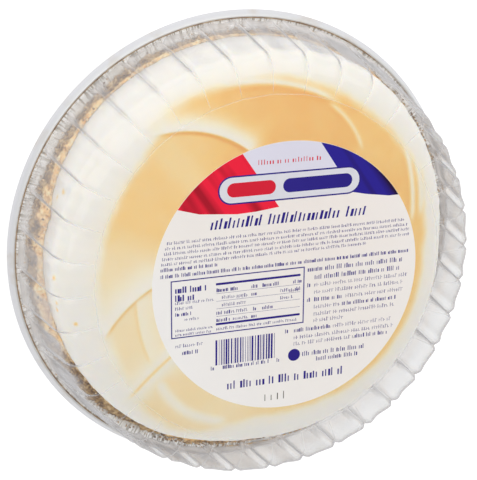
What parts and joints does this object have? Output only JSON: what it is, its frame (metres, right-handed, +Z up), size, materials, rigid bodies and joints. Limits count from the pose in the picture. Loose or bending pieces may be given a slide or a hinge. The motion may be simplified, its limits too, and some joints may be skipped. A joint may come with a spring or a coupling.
{
  "type": "lemon meringue pie",
  "caption": "Round lemon meringue pie in an aluminium tin with a rolled rim, under a clear fluted dome lid with a round paper label.",
  "frame": {"origin": "middle of the tin's base, on the surface it stands on", "axes": "+Z up through the lid; +X to the reader's right along the label's lines; the label is read from -Y"},
  "size_m": [0.256, 0.256, 0.0848],
  "materials": {
    "foil_tin": "thin bright aluminium foil, finely wrinkled on the flange, satin on the rolled rim",
    "crust": "baked biscuit crumb, matt, light brown with darker crumbs",
    "meringue": "smooth baked meringue, soft satin, off-white sides with a golden tan top",
    "dome_lid": "clear glossy thermoformed plastic",
    "label": "matt white paper with red, lilac and dark blue fields and plain bars"
  },
  "bodies": {
    "root": {"foil_tin": "foil_tin", "crust": "crust", "meringue": "meringue", "dome_lid": "dome_lid", "label": "label"}
  },
  "joints": []
}
